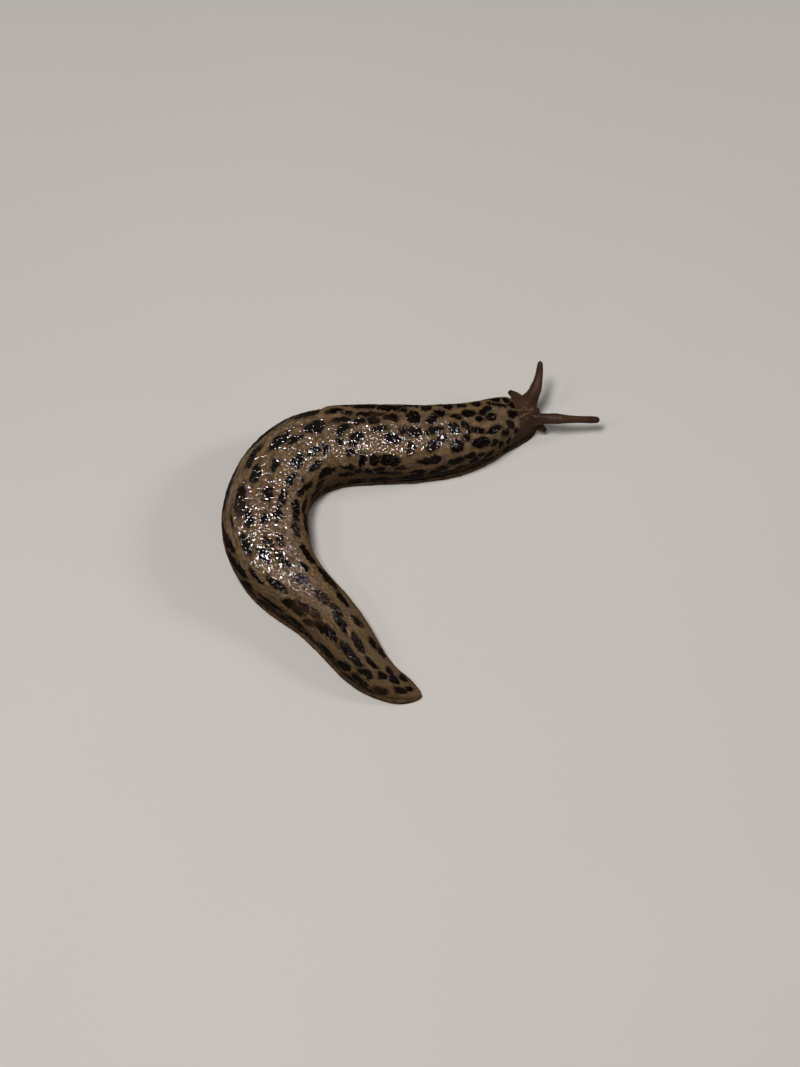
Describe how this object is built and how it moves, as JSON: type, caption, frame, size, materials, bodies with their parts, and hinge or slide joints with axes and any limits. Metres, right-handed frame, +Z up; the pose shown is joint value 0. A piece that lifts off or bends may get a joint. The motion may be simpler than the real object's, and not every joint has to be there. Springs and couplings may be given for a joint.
{
  "type": "leopard slug model",
  "caption": "Still, life-size leopard slug crawling in an open C, with a raised mantle, keeled tail, flat sole with a fringe, and eye-bearing tentacles.",
  "frame": {"origin": "on the ground, at the middle of the whole outline", "axes": "+X the way the head points, +Y to the animal's left, +Z up"},
  "size_m": [0.0833, 0.0778, 0.0134],
  "materials": {
    "body_skin": "wet tan brown skin with long dark spots in rows",
    "mantle_skin": "wet tan brown skin, finely ridged, with close dark leopard spots",
    "head_skin": "moist dark maroon brown skin",
    "tentacle_skin": "moist dark brown skin",
    "foot_skin": "wet brown fringe and paler sole",
    "eye": "glossy black"
  },
  "bodies": {
    "root": {"head": "head_skin", "trunk_front": "body_skin", "trunk_bend_front": "body_skin", "trunk_bend_rear": "body_skin", "trunk_rear": "body_skin", "tail": "body_skin", "foot_front": "foot_skin", "foot_bend_front": "foot_skin", "foot_bend_rear": "foot_skin", "foot_rear": "foot_skin", "mantle": "mantle_skin", "upper_tentacle_left": "tentacle_skin", "upper_tentacle_right": "tentacle_skin", "lower_tentacle_left": "tentacle_skin", "lower_tentacle_right": "tentacle_skin", "eye_left": "eye", "eye_right": "eye"}
  },
  "joints": []
}
